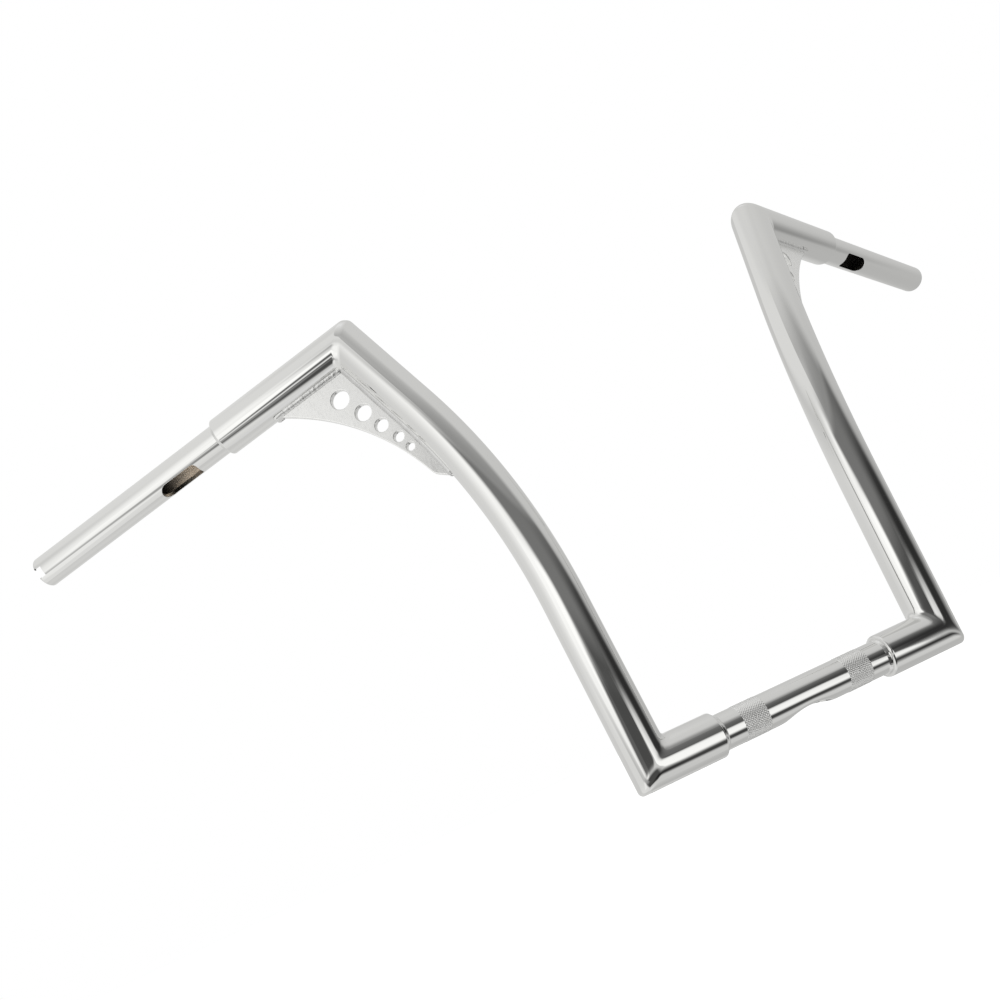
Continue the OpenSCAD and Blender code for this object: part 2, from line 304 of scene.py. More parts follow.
def riser_tube(low_cut, up_cut):
    """The riser's outside and its bore. The cuts are where the weld bands at its two mitres begin."""
    shape = Shape()
    local = np.stack([np.cos(ring), np.sin(ring), 0 * ring], -1)
    for r, mat, sign, low, up in ((FAT_R, 0, 1, low_cut, up_cut), (FAT_BORE, 1, -1, 0, 0)):
        rows, norms = [], []
        e = local @ RISER.T
        seam = np.array([meet(LOW, "a", r * q) for q in e])
        steps = [(seam + low + k, low + k) for k in (SEAM_ROWS if sign > 0 else (0,))]
        steps += [(seam + low + k * (FOOT - seam - low), CLEAR) for k in (0.33, 0.66)]
        for station, gap in steps:
            rows.append(LOWER + r * e + station[:, None] * foot_dir)
            norms.append(turned(LOW, "a", e, np.full(len(e), gap)) if sign > 0 else -e)
        for s in np.linspace(FOOT, FOOT + BEND_LEN, BEND_ROWS):
            c, m, _ = riser_frame(s)
            e = local @ m.T
            rows.append(c + r * e)
            norms.append(sign * e)
        end = np.array([meet(UP, "a", r * q) for q in e]) + up
        for k in (0.5, 1):
            station = HEAD + k * (end - HEAD)
            rows.append(UPPER + r * e + station[:, None] * down_dir)
            norms.append(sign * e)
        shape.grid(rows, norms, mat)
    return shape


def stub_tube(cn, cut, end, edge):
    """A mitred stub: its outside, rounded edge, end face and bore."""
    shape = Shape()
    e = np.cos(ring)[:, None] * cn["yb"] + np.sin(ring)[:, None] * cn["z"]
    for r, mat, sign, c in ((FAT_R, 0, 1, cut), (FAT_BORE, 1, -1, 0)):
        seam = np.array([meet(cn, "b", r * q) for q in e]) + c
        far = end - (edge if mat == 0 else 0)
        blended = cn["dressed"] and sign > 0
        reach = SEAM_ROWS if blended else (0,)
        rows = [cn["p"] + r * e + (seam + k)[:, None] * cn["b"] for k in reach]
        rows += [cn["p"] + r * e + (seam + k * (far - seam))[:, None] * cn["b"] for k in (0.5, 1)]
        norms = [turned(cn, "b", e, np.full(len(e), c + k)) if blended else sign * e for k in reach]
        shape.grid(rows, norms + [sign * e] * 2, mat)
    inner = FAT_R - edge
    for profile in (arc_profile(end - edge, inner, edge, 0, 90), [(end, inner, 1, 0), (end, THIN_R, 1, 0)]):
        lathe(shape, cn["p"], cn["b"], cn["yb"], cn["z"], profile)
    return shape


# ---- Grip tube with its wiring slot, and the throttle's notch on one side ----
grip_down = rot_z(SWEEP) @ rot_y(90 + DROP) @ X
grip_rear = rot_z(SWEEP) @ Y
SLOT_FROM, SLOT_LEN, SLOT_W, SLOT_CORNER, SLOT_TURN = 148.0, 35.5, 15.0, 3.5, 18.0
SLOT_RIM = 0.45
NOTCH_W, NOTCH_D, NOTCH_TURN = 9.0, 6.5, 77.0
# Stations of the points on the grip's skin, and the patch by the slot where they lie closer:
# its ends, its half width, the angle its own points reach and how far they keep from the slot
GRIP_ROWS = [105, STUB, 135, 143, *np.linspace(147, 185, 12), 195, 220, 250, 280, 294]
PATCH_FROM, PATCH_TO, PATCH_HALF, PATCH_ANGLE, PATCH_GAP = 143, 189, 10.5, 0.95, 1.2


def square_to_grip(turn):
    """A direction square to the grip, turned forward from straight down."""
    return cosd(turn) * grip_down - sind(turn) * grip_rear


def slot_points(grow):
    """Outline of the slot in (across, along): square with round corners toward the stub, round toward
    the tip."""
    half, q = SLOT_W / 2 + grow, SLOT_CORNER + grow
    s0, s1 = SLOT_FROM - grow, SLOT_FROM + SLOT_LEN - SLOT_W / 2
    bend = np.linspace(0, math.pi / 2, 12)
    pts = [(half * math.cos(a), s1 + half * math.sin(a)) for a in np.linspace(0, math.pi, 40)]
    pts += [(-half, s) for s in np.linspace(s1, s0 + q, 10)[1:-1]]
    pts += [(-half + q - q * math.cos(a), s0 + q - q * math.sin(a)) for a in bend]
    pts += [(x, s0) for x in np.linspace(-half + q, half - q, 10)[1:-1]]
    pts += [(half - q + q * math.cos(a), s0 + q - q * math.sin(a)) for a in bend[::-1]]
    pts += [(half, s) for s in np.linspace(s0 + q, s1, 10)[1:-1]]
    return np.array(pts)


def slot_flat(r, grow):
    """The slot's outline on a tube of radius r, unrolled."""
    q = slot_points(grow)
    return np.stack([np.arcsin(np.clip(q[:, 0] / r, -1, 1)) * r, q[:, 1]], -1)


def loop_normals(pts):
    """Outward normals of a closed loop of points."""
    d = np.roll(pts, -1, 0) - np.roll(pts, 1, 0)
    n = unit(np.stack([d[:, 1], -d[:, 0]], -1))
    c = pts.mean(0)
    return n if ((pts - c) * n).sum() > 0 else -n


def slot_wall(shape, place, side):
    """The wall of the slot, with a rounded rim at the outside.
    place(outline, r) puts an outline in (across, along) on a cylinder, and gives outward normals there."""
    outline = slot_points(0)
    out = loop_normals(outline)
    face = -(out[:, :1] * side + out[:, 1:] * grip_dir)
    rows, norms = [], []
    for a in np.radians(np.linspace(0, 90, 6)):
        grow, depth = SLOT_RIM * (1 - math.sin(a)), SLOT_RIM * (1 - math.cos(a))
        p, radial = place(outline + grow * out, THIN_R - depth)
        rows.append(p)
        norms.append(math.cos(a) * radial + math.sin(a) * face)
    for depth in np.linspace(SLOT_RIM, THIN_R - THIN_BORE, 4)[1:]:
        rows.append(place(outline, THIN_R - depth)[0])
        norms.append(face)
    shape.grid(rows, norms)


def notched_end(r, r_end, mid, ang):
    """The tip's end of the unrolled skin with the notch in it, from the last angle to the first."""
    half, floor = math.asin(NOTCH_W / 2 / r), GRIP - NOTCH_D
    flank = (r_end, (r_end + floor) / 2)
    edge = [(a * r, r_end) for a in ang[::-1] if a > mid + half + 0.01]
    edge += [((mid + half) * r, s) for s in flank]
    edge += [((mid + k * half) * r, floor) for k in np.linspace(1, -1, 9)]
    edge += [((mid - half) * r, s) for s in flank[::-1]]
    return edge + [(a * r, r_end) for a in ang[::-1] if a < mid - half - 0.01]


def notch_walls(shape, notch_dir):
    """The two flanks and the floor of the notch in the throttle side's tip."""
    across = np.cross(grip_dir, notch_dir)
    floor, y = GRIP - NOTCH_D, NOTCH_W / 2
    prof = [(floor, THIN_BORE), (GRIP - BORE_EDGE, THIN_BORE), (GRIP, THIN_BORE + BORE_EDGE)]
    prof += [(t, r) for t, r, _, _ in arc_profile(GRIP - TIP_EDGE, THIN_R - TIP_EDGE, TIP_EDGE, 90, 0)]
    prof += [(floor, THIN_R)]
    for sgn in (1, -1):
        pts = [UPPER + t * grip_dir + math.sqrt(r * r - y * y) * notch_dir + sgn * y * across
               for t, r in prof]
        shape.add(pts, [-sgn * across] * len(pts), [tuple(range(len(pts)))])
    rows = []
    for r in (THIN_BORE, THIN_R):
        a = np.linspace(-math.asin(y / r), math.asin(y / r), 9)
        radial = np.cos(a)[:, None] * notch_dir + np.sin(a)[:, None] * across
        rows.append(UPPER + floor * grip_dir + r * radial)
    shape.grid(rows, np.zeros((2, 9, 3)) + grip_dir, 0, False)


def grip_tube(notched):
    """A grip tube, drawn on the left: skin and bore with the slot, its wall and the tip's edges."""
    shape = Shape()
    slot_dir, notch_dir = square_to_grip(SLOT_TURN), square_to_grip(NOTCH_TURN)
    side = np.cross(grip_dir, slot_dir)
    notch_mid = math.atan2(notch_dir @ side, notch_dir @ slot_dir)

    def place(q, r):
        sin = q[:, :1] / r
        radial = np.sqrt(1 - sin ** 2) * slot_dir + sin * side
        return UPPER + q[:, 1:] * grip_dir + r * radial, radial

    ang = np.linspace(-math.pi, math.pi, AROUND + 1)
    start, end = STUB - OVERLAP, GRIP - TIP_EDGE
    for r, r_end, sign, mat in ((THIN_R, end, 1, 0), (THIN_BORE, GRIP - BORE_EDGE, -1, 1)):
        outline = [(a * r, start) for a in ang]
        outline += notched_end(r, r_end, notch_mid, ang) if notched else [(a * r, r_end) for a in ang[::-1]]
        pts = [(a * r, s) for a in ang[1:-1] for s in GRIP_ROWS]
        pts = [q for q in pts if not (PATCH_FROM < q[1] < PATCH_TO and abs(q[0]) < PATCH_HALF)]
        patch = np.array([(a * r, s) for a in np.linspace(-PATCH_ANGLE, PATCH_ANGLE, 41)
                          for s in np.linspace(PATCH_FROM + 1, PATCH_TO - 1, 30)])
        pts += [tuple(q) for q in patch[~inside(patch, slot_flat(r, PATCH_GAP))]]

        def skin(uv, r=r, sign=sign):
            a = uv[:, 0] / r
            radial = np.cos(a)[:, None] * slot_dir + np.sin(a)[:, None] * side
            return UPPER + uv[:, 1:] * grip_dir + r * radial, sign * radial

        shape.sheet(outline, [slot_flat(r, SLOT_RIM if sign > 0 else 0)], pts, skin, mat)
    slot_wall(shape, place, side)
    # The tip: outer rounding, end face and a broken inner edge, open where the notch is
    tips = ring
    if notched:
        half = math.asin(NOTCH_W / 2 / THIN_R)
        tips = np.linspace(notch_mid + half, notch_mid + 2 * math.pi - half, AROUND)
    rounding = arc_profile(end, THIN_R - TIP_EDGE, TIP_EDGE, 0, 90)
    face = [(GRIP, THIN_R - TIP_EDGE, 1, 0), (GRIP, THIN_BORE + BORE_EDGE, 1, 0)]
    t, r = GRIP - BORE_EDGE, THIN_BORE + BORE_EDGE
    broken = [(t + BORE_EDGE * math.sin(a), r - BORE_EDGE * math.cos(a), math.sin(a), -math.cos(a))
              for a in np.linspace(math.pi / 2, 0, 5)]
    for profile in (rounding, face, broken):
        lathe(shape, UPPER, grip_dir, slot_dir, side, profile, 0, tips, not notched)
    if notched:
        notch_walls(shape, notch_dir)
    return shape


# ---- Centre tube: plain tube, dimple with wiring hole, and two knurled bands ----
BAND_MID, BAND_LEN, KNURL_TOP, KNURL_FLOOR = 44.45, 20.0, 12.9, 12.6
DIMPLE_DEPTH, DIMPLE_LEN, HOLE_R, HOLE_X, HOLE_RIM = 3.6, 40.0, 6.0, 9.0, 0.5
DIMPLE_R = (DIMPLE_LEN ** 2 / 4 + DIMPLE_DEPTH ** 2) / (2 * DIMPLE_DEPTH)
DIMPLE_SOFT, DIMPLE_FADE = 1.6, 30.0  # how soft the dimple's edge is, and where along the tube that ends
HOLE_WALL = WALL + 0.6  # the hole's wall goes a little past the bore's skin
HOLE_GAP = 1.12  # the skin's own points keep out of the hole grown by this


def centre_point(x, a, r, depth):
    """A point of the centre tube's skin at station x and angle a from straight down, pressed in by the
    dimple."""
    y, z = r * np.sin(a), -r * np.cos(a)
    scoop = DIMPLE_DEPTH - THIN_R - DIMPLE_R + depth + np.sqrt(DIMPLE_R ** 2 - x ** 2)
    soft = DIMPLE_SOFT * np.clip(1 - (np.abs(x) / DIMPLE_FADE) ** 2, 0, 1)
    z = 0.5 * (z + scoop + np.sqrt((z - scoop) ** 2 + soft ** 2))
    return np.stack([x, y, z], -1)


def pressed(uv, r, depth, sign):
    """Points and normals of the pressed skin, from (arc round the tube, station)."""
    x, a = uv[:, 1], uv[:, 0] / r
    p = centre_point(x, a, r, depth)
    d = 0.02
    px = centre_point(x + d, a, r, depth) - centre_point(x - d, a, r, depth)
    pa = centre_point(x, a + d, r, depth) - centre_point(x, a - d, r, depth)
    n = unit(np.cross(px, pa))
    out = np.stack([0 * x, np.sin(a), -np.cos(a)], -1)
    n *= np.sign((n * out).sum(-1, keepdims=True))
    return p, sign * n


def centre_tube():
    shape = Shape()
    edge, band, reach = BAND_MID - BAND_LEN / 2, BAND_MID + BAND_LEN / 2, STUB_FACE + OVERLAP
    for s in (1, -1):
        outside = [(s * x, THIN_R, 0, 1) for x in (band, 80, reach)]
        end = [(s * reach, r, s, 0) for r in (THIN_R, THIN_BORE)]
        bore = [(s * x, THIN_BORE, 0, -1) for x in (edge, reach)]
        for profile, mat in ((outside, 0), (end, 0), (bore, 1)):
            lathe(shape, np.zeros(3), X, np.array([0, 0, -1.0]), Y, profile, mat)
    ang = np.linspace(-math.pi, math.pi, AROUND + 1)
    loop = circle(64)
    for r, depth, sign, mat, grow in ((THIN_R, 0.0, 1, 0, HOLE_RIM), (THIN_BORE, WALL, -1, 1, 0.0)):
        hole_r = HOLE_R + grow
        hole = np.stack([np.arcsin(hole_r * np.sin(loop) / r) * r, HOLE_X + hole_r * np.cos(loop)], -1)
        guard = np.stack([hole[:, 0] * HOLE_GAP, HOLE_X + hole_r * HOLE_GAP * np.cos(loop)], -1)
        outline = [(a * r, -edge) for a in ang] + [(a * r, edge) for a in ang[::-1]]
        pts = np.array([(a * r, x) for a in ang[1:-1] for x in np.linspace(-edge, edge, 70)[1:-1]])
        pts = pts[~inside(pts, guard)]
        shape.sheet(outline, [hole], pts, lambda uv, r=r, d=depth, s=sign: pressed(uv, r, d, s), mat)
    # The hole's wall: a rounded rim, then straight up
    face = -np.stack([np.cos(loop), np.sin(loop), 0 * loop], -1)
    rows, norms = [], []
    for k in np.linspace(0, 1, 11):
        if k <= 0.5:
            a = k * math.pi
            grow, sink = HOLE_RIM * (1 - math.sin(a)), HOLE_RIM * (1 - math.cos(a))
        else:
            a, grow, sink = math.pi / 2, 0, HOLE_RIM + (k - 0.5) * 2 * (HOLE_WALL - HOLE_RIM)
        across, along = (HOLE_R + grow) * np.sin(loop), HOLE_X + (HOLE_R + grow) * np.cos(loop)
        p, n = pressed(np.stack([np.arcsin(across / THIN_R) * THIN_R, along], -1), THIN_R, 0.0, 1)
        p[:, 2] += sink
        rows.append(p)
        norms.append(math.cos(a) * n + math.sin(a) * face)
    shape.grid(rows, norms)
    return shape


# Knurling: grooves of one set round the tube, their pitch along it, and lattice steps in a half pitch
GROOVES, KNURL_PITCH, KNURL_STEPS = 46, 2.1, 4
KNURL_FADE, KNURL_SUNK = 0.5, 0.03  # at a band's ends it sinks into the tube over this length, this deep


def diamond(t):
    """Height across a groove and the land beside it, from 0 to 1; t counts the grooves."""
    return np.clip(1.9 * (0.5 - abs(t - math.floor(t) - 0.5)) * 2 - 0.12, 0, 1)


def knurl_band():
    """Diamond knurling: two crossing sets of grooves round the tube, on a lattice that follows them."""
    period, total = 2 * KNURL_STEPS, 2 * KNURL_STEPS * GROOVES
    step_a, step_x = math.pi / (KNURL_STEPS * GROOVES), KNURL_PITCH / period
    end, sunk = BAND_LEN / 2, THIN_R - KNURL_SUNK
    rows = int(end / step_x)
    index, pts, faces = {}, [], []
    for i in range(-rows - 1, rows + 2):
        x = min(max(i * step_x, -end), end)
        fade = min(1, (end - abs(x)) / KNURL_FADE)
        for j in range(i % 2, total, 2):
            h = min(diamond((i + j) / period), diamond((j - i) / period))
            r = sunk + fade * (KNURL_FLOOR + h * (KNURL_TOP - KNURL_FLOOR) - sunk)
            index[i, j] = len(pts)
            pts.append((x, r * math.sin(j * step_a), -r * math.cos(j * step_a)))
    for i in range(-rows, rows + 1):
        for j in range((i + 1) % 2, total, 2):
            before, after = (j - 1) % total, (j + 1) % total
            faces.append((index[i, before], index[i + 1, j], index[i, after], index[i - 1, j]))
    p = np.array(pts)
    n = np.zeros_like(p)
    for f in faces:
        q = p[list(f)]
        g = np.cross(q[2] - q[0], q[3] - q[1])
        out = q.mean(0) * [0, 1, 1]
        n[list(f)] += g if g @ out > 0 else -g
    shape = Shape()
    shape.add(p, unit(n), faces)
    return shape


# ---- Welds ----
# Ring welds: run along the tube, rise up the stub's face, radius of the bead's crown
UPPER_RING, LOWER_RING = (1.3, 0.8, 2.0), (2.7, 1.15, 4.6)
RING_CRESCENTS, RING_DIP = 44, 0.035  # crescents round the tube, and how deep the dips between them are
# Fillet beads: the angles that their section spans from the plate, and the one at which their toe lies
BEAD_SPAN, BEAD_TOE = (-4, 108), 104
BEAD_STEP, CRESCENT, BEAD_DIP = 0.42, 2.3, 0.02  # step between rows, length of a crescent, depth of a dip
RUN_OUT = 1.6 * BEAD_R  # length over which the riser's beads end
PUDDLE_R, PUDDLE_BACK, PUDDLE_SINK = 0.93 * BEAD_R, 7, 0.08


def ripple(s, pitch, across):
    """Overlapping crescents of a weld bead, 0 at a seam between two and 1 on a crown."""
    t = s / pitch + 0.35 * across ** 2
    return np.sqrt(np.abs(np.sin(math.pi * t)))


def ring_weld(axis, u, w, origin, size, seed):
    """A bead round a thin tube against a stub's end face. size is (run, rise, crown radius)."""
    rng = np.random.default_rng(seed)
    run, rise, r = size
    chord = math.hypot(run, rise)
    sink = math.sqrt(r * r - chord * chord / 4)
    ct, cr = run / 2 - sink * rise / chord, THIN_R + rise / 2 - sink * run / chord
    a0, a1 = math.atan2(run - ct, THIN_R - cr), math.atan2(-ct, THIN_R + rise - cr)
    th, knots = circle(420), 40
    wobble = np.append(rng.uniform(-0.5, 0.5, knots), 0)
    wobble = np.interp(th, np.linspace(0, 2 * math.pi, knots + 1), wobble)
    radial = np.cos(th)[:, None] * u + np.sin(th)[:, None] * w
    rows = []
    for k in np.linspace(0, 1, 9):
        a = a0 + (a1 - a0) * k
        rip = ripple(th * THIN_R + wobble, 2 * math.pi * THIN_R / RING_CRESCENTS, 2 * k - 1)
        rr = r - (1 - rip) * RING_DIP * rise * math.sin(math.pi * k)
        t, q = ct + rr * math.sin(a), cr + rr * math.cos(a)
        rows.append(origin + t[:, None] * axis + q[:, None] * radial)
    shape = Shape()
    p = np.array(rows)
    n = grid_normals(p, True)
    shape.grid(p, n * np.sign((n * radial).sum()))
    return shape


def fillet(centre_of, start, end, run_out, seed):
    """A fillet bead along the plate's foot, up to the station end. centre_of(s) gives its root, the plate's
    direction, the tube's and the foot's. start(p) tells how far along the foot a line through p meets the
    corner's mitre plane. Over run_out, its last length, the bead tapers to nothing."""
    rng = np.random.default_rng(seed)
    stations = np.linspace(0, 1, int((end - 12) / BEAD_STEP))
    shifts = np.interp(stations, np.linspace(0, 1, 45), rng.uniform(-0.35, 0.35, 45))
    sizes = np.interp(stations, np.linspace(0, 1, 30), rng.uniform(0.9, 0.97, 30))
    phis = np.radians(np.linspace(*BEAD_SPAN, 14))
    toe = math.radians(BEAD_TOE)
    near = 20.0  # a station on the straight part by the corner
    c, up, away, axis = centre_of(near)
    starts = [start(c + BEAD_R * (math.cos(f) * up + math.sin(f) * away) - near * axis) for f in phis]
    rows = []
    for t, shift, size in zip(stations, shifts, sizes):
        row = []
        for f, first in zip(phis, starts):
            s = first + t * (end - first)
            c, up, away, _ = centre_of(s)
            across = 2 * (f - phis[0]) / (phis[-1] - phis[0]) - 1
            rip = ripple(s + shift, CRESCENT, across)
            left = min(1.0, (end - s) / run_out) if run_out else 1.0
            cap = math.sqrt(max(0.0, 1 - (1 - left) ** 2))
            # between a round bead and a flat fillet, whose toe lies on the round tube
            flat = math.pi / 2 * min(max(f / toe, 0.0), 1.0)
            swell = 0.45 + 0.55 / (math.cos(flat) + math.sin(flat))
            r = BEAD_R * size * swell * (1 - BEAD_DIP * left * (1 - rip)) * cap
            row.append(c + r * (math.cos(f) * up + math.sin(f) * away))
        rows.append(row)
    return np.array(rows)


BEAD_TURN = math.asin(GUSSET_T / 2 / FAT_R)
head_m = RISER @ rot_y(BEND)
PLATE_TURN = math.atan2(plate_out @ (head_m @ Y), plate_out @ (head_m @ X))


def riser_bead(side):
    turn = PLATE_TURN + side * BEAD_TURN
    ct, st = math.cos(BEAD_TURN), math.sin(BEAD_TURN)

    def at(s):
        c, m, axis = riser_frame(RISER_LEN - s)
        e = m @ np.array([math.cos(turn), math.sin(turn), 0])
        away = m @ np.array([-math.sin(turn), math.cos(turn), 0]) * side
        return c + FAT_R * e, ct * e - st * away, ct * away + st * e, -axis

    return fillet(at, lambda p: meet(UP, "a", p - UPPER), GUSSET_RISER + 1.5, RUN_OUT, 11 + side)


def stub_bead(side):
    def at(s):
        c = UPPER + s * grip_dir + FAT_R * math.cos(BEAD_TURN) * plate_y + side * GUSSET_T / 2 * plate_z
        return c, plate_y, side * plate_z, grip_dir

    return fillet(at, lambda p: meet(UP, "b", p - UPPER), GUSSET_STUB, 0.0, 21 + side)


def beads(maker):
    """The bead on each side of the plate along one of its feet."""
    shape = Shape()
    for side in (1, -1):
        p = maker(side)
        n = grid_normals(p, False)
        if ((p - p.mean(1, keepdims=True)) * n).sum() < 0:
            n = -n
        shape.grid(p, n, 0, False)
    return shape


def stub_beads():
    """The two beads along the stub and the puddle that joins them round the plate's end."""
    shape = beads(stub_bead)
    centre = UPPER + GUSSET_STUB * grip_dir + FAT_R * math.cos(BEAD_TURN) * plate_y
    # each of its rows fans up from the tube, then runs back along the plate's edge and sinks into it
    up, along = 16, 4
    fan = np.radians(np.append(np.linspace(-12, 90, up), [90] * along))[:, None]
    back = np.append(np.zeros(up), np.linspace(0, PUDDLE_BACK, along + 1)[1:])[:, None]
    face = np.cos(fan) * grip_dir + np.sin(fan) * plate_y
    run = back * grip_dir + PUDDLE_SINK * back * plate_y
    rows, norms = [], []
    for lean in np.radians(np.linspace(-90, 90, 25)):
        z = math.copysign(GUSSET_T / 2, lean) + PUDDLE_R * math.sin(lean)
        rows.append(centre + z * plate_z + PUDDLE_R * math.cos(lean) * face - run)
        norms.append(math.cos(lean) * face + math.sin(lean) * plate_z)
    shape.grid(rows, norms, 0, False)
    return shape


# ---- Gusset plate ----
EDGE_R, NOSE_RUN, NOSE_RISE, NOSE_R = 198.0, 11.5, 11.5, 3.0
HOLES = [(28, 33.6, 15), (49.7, 29, 13), (67.8, 26.75, 10.5), (84.4, 24.4, 8.2), (96.6, 24.1, 6.5)]
PLATE_RIM = 0.7  # rounding of its edges
PLATE_SUNK = 1.5  # how far its feet go into the tubes


def gusset():
    """The plate in its own plane (u, v), u along the stub and v down: two faces and the walls of the
    hollow edge and the holes, with rounded rims. Its feet are hidden in the tubes."""
    shape = Shape()
    upper = math.acos(grip_dir @ down_dir)
    # along the riser, and out from it
    pd = np.array([math.cos(upper), math.sin(upper)])
    po = np.array([math.sin(upper), -math.cos(upper)])

    def bent(s):
        """How far the bend has moved the riser's side out, at a station down from the corner."""
        return BEND_R * (1 - math.cos(max(0, (s - HEAD) / BEND_R))) * math.cos(PLATE_TURN)

    stub = np.array([GUSSET_STUB, FAT_R])
    nose = (GUSSET_RISER - NOSE_RUN) * pd + (FAT_R + NOSE_RISE) * po
    foot = GUSSET_RISER * pd + (FAT_R + bent(GUSSET_RISER)) * po
    half = np.linalg.norm(nose - stub) / 2
    square = np.array([nose[1] - stub[1], stub[0] - nose[0]]) / (2 * half)
    centre = (stub + nose) / 2 + square * math.sqrt(EDGE_R ** 2 - half ** 2)
    a0, a1 = (math.atan2(*(q - centre)[::-1]) for q in (stub, nose))
    arc = [centre + EDGE_R * np.array([math.cos(a), math.sin(a)]) for a in np.linspace(a0, a1, 90)]
    # the nose's corner is rounded off
    way = unit(foot - nose)
    arc = [q for q in arc if np.linalg.norm(q - nose) > NOSE_R]
    arc += [curve(arc[-1], nose, nose + NOSE_R * way, t) for t in np.linspace(0, 1, 10)[1:]]
    edge = np.array(arc + [foot + PLATE_SUNK * way])
    d = np.gradient(edge, axis=0)
    out = unit(np.stack([d[:, 1], -d[:, 0]], -1))
    middle = 40  # a point well inside the hollow edge
    if (out[middle] @ (centre - edge[middle])) < 0:
        out = -out
    sunk = FAT_R - PLATE_SUNK
    back = [s * pd + (sunk + bent(s)) * po for s in np.linspace(GUSSET_RISER + 1, 16, 24)]
    outline = [(stub[0], sunk)] + [tuple(q) for q in edge - PLATE_RIM * out]
    outline += [tuple(q) for q in back] + [(12.0, sunk)]
    loop = circle(72)
    round_ = np.stack([np.cos(loop), np.sin(loop)], -1)
    holes = [(s * pd + w * po, dia / 2) for s, w, dia in HOLES]
    walls = [(edge, out, False)] + [(c + r * round_, -round_, True) for c, r in holes]

    def at(q, h):
        return UPPER + q[:, :1] * grip_dir + q[:, 1:] * plate_y + h * plate_z

    def facing(face):
        return face[:, :1] * grip_dir + face[:, 1:] * plate_y

    # points inside the faces, clear of the holes and of the edge
    grid = np.array([(x, y) for x in np.arange(-40, 90, 6.0) for y in np.arange(10, 140, 6.0)])
    far = [q for q in grid[inside(grid, outline)] if all(np.hypot(*(q - c)) > r + 3 for c, r in holes)]
    far = [q for q in far if np.min(np.hypot(*(np.array(outline) - q).T)) > 2.5]
    for side in (1, -1):
        z = side * GUSSET_T / 2

        def place(uv, z=z, side=side):
            p = at(uv, z)
            return p, np.zeros_like(p) + side * plate_z

        shape.sheet(outline, [c + (r + PLATE_RIM) * round_ for c, r in holes], far, place)
        for pts, face, closed in walls:
            rows, norms = [], []
            for a in np.linspace(0, math.pi / 2, 6):
                inset, depth = PLATE_RIM * (1 - math.sin(a)), PLATE_RIM * (1 - math.cos(a))
                rows.append(at(pts - inset * face, z - side * depth))
                norms.append(math.sin(a) * facing(face) + math.cos(a) * side * plate_z)
            shape.grid(rows, norms, 0, closed)
    flat = GUSSET_T / 2 - PLATE_RIM
    for pts, face, closed in walls:
        shape.grid([at(pts, -flat), at(pts, flat)], [facing(face)] * 2, 0, closed)
    return shape


# ---- Shader nodes ----
def material(name, base, rough, metallic=1.0):
    mat = bpy.data.materials.new(name)
    mat.use_nodes = True
    t = mat.node_tree
    b = t.nodes["Principled BSDF"]
    b.inputs["Base Color"].default_value = (*base, 1)
    b.inputs["Metallic"].default_value = metallic
    b.inputs["Roughness"].default_value = rough
    return mat, t, b


def noise(t, scale, detail=2.0, stretch=(1, 1, 1)):
    """Noise in the object's own metres; scale is features per metre."""
    co = t.nodes.new("ShaderNodeTexCoord")
    mp = t.nodes.new("ShaderNodeMapping")
    mp.inputs["Scale"].default_value = stretch
    t.links.new(co.outputs["Object"], mp.inputs["Vector"])
    tex = t.nodes.new("ShaderNodeTexNoise")
    tex.inputs["Scale"].default_value = scale
    tex.inputs["Detail"].default_value = detail
    t.links.new(mp.outputs["Vector"], tex.inputs["Vector"])
    return tex.outputs["Fac"]


def map_range(t, value, low, high, to_low, to_high, smooth):
    n = t.nodes.new("ShaderNodeMapRange")
    n.interpolation_type = "SMOOTHSTEP" if smooth else "LINEAR"
    for key, v in (("From Min", low), ("From Max", high), ("To Min", to_low), ("To Max", to_high)):
        n.inputs[key].default_value = v
    t.links.new(value, n.inputs["Value"])
    return n.outputs["Result"]


def spread(t, fac, low, high):
    """The middle of a noise's values spread over a range."""
    return map_range(t, fac, 0.3, 0.7, low, high, False)


def step(t, value, low, high, to_low=0.0, to_high=1.0):
    """A smooth step from to_low at low to to_high at high."""
    return map_range(t, value, low, high, to_low, to_high, True)


def calc(t, op, *values):
    n = t.nodes.new("ShaderNodeMath")
    n.operation = op
    for socket, value in zip(n.inputs, values):
        if isinstance(value, (int, float)):
            socket.default_value = value
        else:
            t.links.new(value, socket)
    return n.outputs[0]


def axes(t, output):
    """The three parts of one of the texture coordinates."""
    co = t.nodes.new("ShaderNodeTexCoord")
    xyz = t.nodes.new("ShaderNodeSeparateXYZ")
    t.links.new(co.outputs[output], xyz.inputs[0])
    return xyz.outputs


def bump(t, b, height, strength, distance):
    """Bumps of this distance in metres."""
    n = t.nodes.new("ShaderNodeBump")
    n.inputs["Strength"].default_value = strength
    n.inputs["Distance"].default_value = distance
    t.links.new(height, n.inputs["Height"])
    t.links.new(n.outputs["Normal"], b.inputs["Normal"])


# ---- Materials ----
BRIGHT = (0.97, 0.97, 0.96)


def chrome(name, rough, wave, base=(0.86, 0.86, 0.85)):
    """Polished plating: slow waves of the polished tube, and fine buffing marks in the roughness."""
    mat, t, b = material(name, base, rough)
    fine = noise(t, 900, 3.0, (1, 1, 0.25))
    t.links.new(spread(t, fine, rough * 0.6, rough * 1.7), b.inputs["Roughness"])
    bump(t, b, noise(t, 45, 1.0), wave, 0.0006)
    return mat


tube_chrome = chrome("tube_chrome_polished", 0.035, 0.02)
clamp_chrome = chrome("clamp_chrome_polished", 0.04, 0.02)
# The plate's chrome has a lighter base than the tubes' chrome: painted light, standing in for the brighter
# light the plate catches.
gusset_chrome = chrome("gusset_chrome_polished_painted_light", 0.2, 0.05, BRIGHT)
ring_chrome = chrome("ring_weld_chrome", 0.08, 0.08)
# The riser beads' chrome has a darker base than the other welds: painted shade, standing in for a darker
# reflection along the bead.
bead_chrome = chrome("riser_bead_chrome_painted_shade", 0.2, 0.1, (0.72, 0.72, 0.715))

